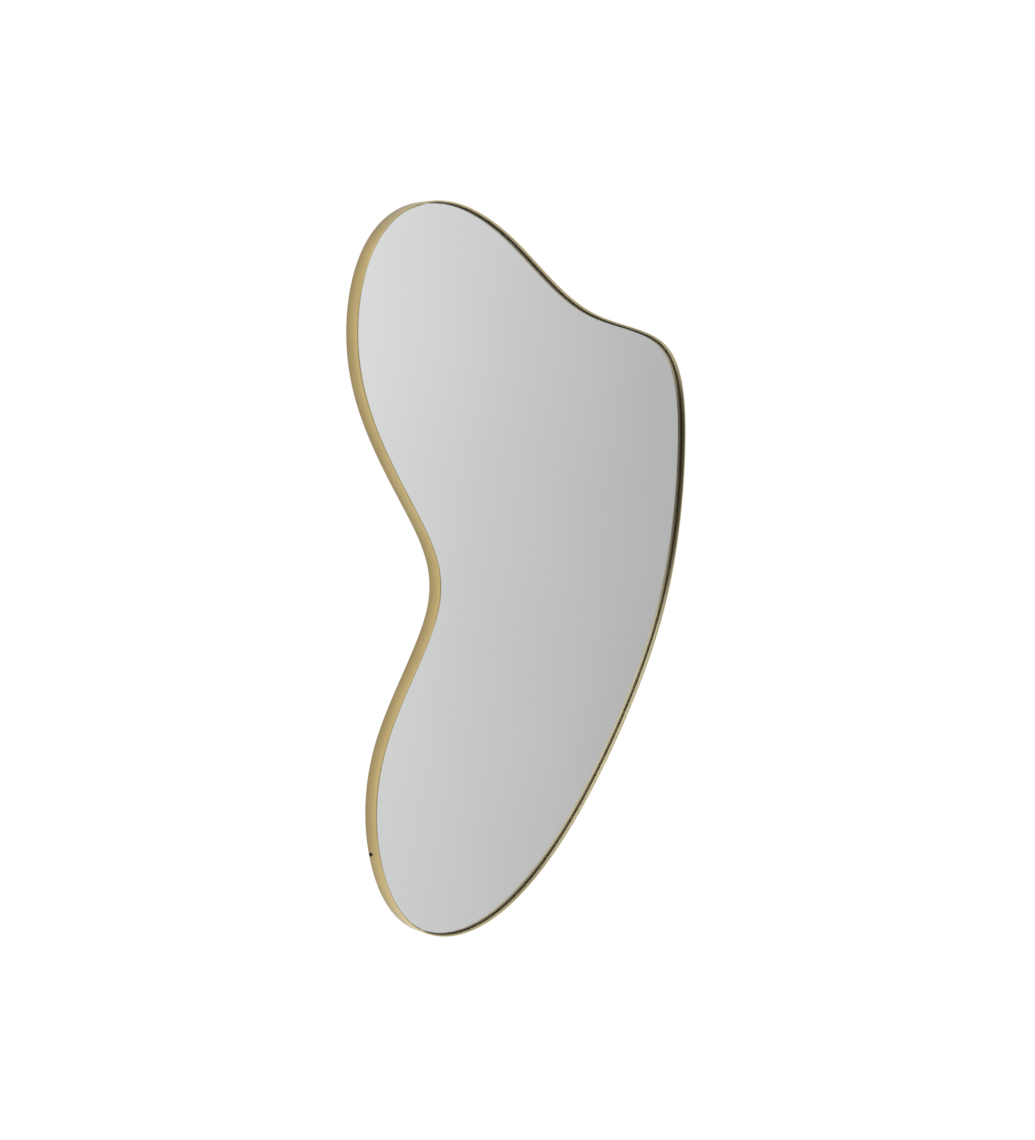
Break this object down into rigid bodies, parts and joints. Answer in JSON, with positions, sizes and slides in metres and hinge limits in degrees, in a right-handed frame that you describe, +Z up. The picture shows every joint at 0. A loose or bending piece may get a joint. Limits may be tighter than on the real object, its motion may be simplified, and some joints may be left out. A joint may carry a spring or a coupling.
{
  "type": "irregular shaped wall mirror",
  "caption": "Free-form wall mirror with one lobe, a shoulder and a waist, in a thin brass-finished metal band, hung from D-rings.",
  "frame": {"origin": "on the wall, midway between the two wall hooks at the inner top of the D-rings, straight above the middle of the mirror's area", "axes": "+X to the viewer's right, +Y into the wall, +Z up; the mirror faces -Y"},
  "size_m": [0.7619, 0.03, 1.14],
  "materials": {
    "band_brass": "satin, brushed along the band",
    "mirror_glass": "silvered float glass with ground arrises",
    "fibreboard": "raw medium density fibreboard",
    "foam_tape": "closed-cell foam",
    "dark_bronze": "dark bronze coated steel",
    "zinc_steel": "bright zinc-plated steel",
    "bumper_rubber": "matt black rubber"
  },
  "bodies": {
    "mirror": {"rim_band": "band_brass", "mirror_glass": "mirror_glass", "backing_board": "fibreboard", "tape_strip_1": "foam_tape", "tape_strip_2": "foam_tape", "tape_strip_3": "foam_tape", "tape_strip_4": "foam_tape", "tape_strip_5": "foam_tape", "tape_strip_6": "foam_tape", "tape_strip_7": "foam_tape", "rim_screw_left": "dark_bronze", "rim_screw_right": "dark_bronze", "rim_clip_1": "zinc_steel", "rim_clip_2": "zinc_steel", "rim_clip_3": "zinc_steel", "rim_clip_4": "zinc_steel", "rim_clip_5": "zinc_steel", "rim_clip_6": "zinc_steel", "rim_clip_screw_1": "zinc_steel", "rim_clip_screw_2": "zinc_steel", "rim_clip_screw_3": "zinc_steel", "rim_clip_screw_4": "zinc_steel", "rim_clip_screw_5": "zinc_steel", "rim_clip_screw_6": "zinc_steel", "hanger_strap_left": "zinc_steel", "hanger_strap_right": "zinc_steel", "hanger_screw_left_upper": "zinc_steel", "hanger_screw_left_lower": "zinc_steel", "hanger_screw_right_upper": "zinc_steel", "hanger_screw_right_lower": "zinc_steel", "wall_bumper_1": "bumper_rubber", "wall_bumper_2": "bumper_rubber", "wall_bumper_3": "bumper_rubber", "wall_bumper_4": "bumper_rubber"},
    "ring_left": {"hanger_ring_left": "zinc_steel"},
    "ring_right": {"hanger_ring_right": "zinc_steel"}
  },
  "joints": [
    {"name": "ring_left_swing", "type": "hinge", "parent": "mirror", "child": "ring_left", "pos_m": [-0.15, -0.00315, -0.0147], "axis": [-1, 0, 0], "range_deg": [0, 180]},
    {"name": "ring_right_swing", "type": "hinge", "parent": "mirror", "child": "ring_right", "pos_m": [0.15, -0.00315, -0.0147], "axis": [-1, 0, 0], "range_deg": [0, 180]}
  ]
}
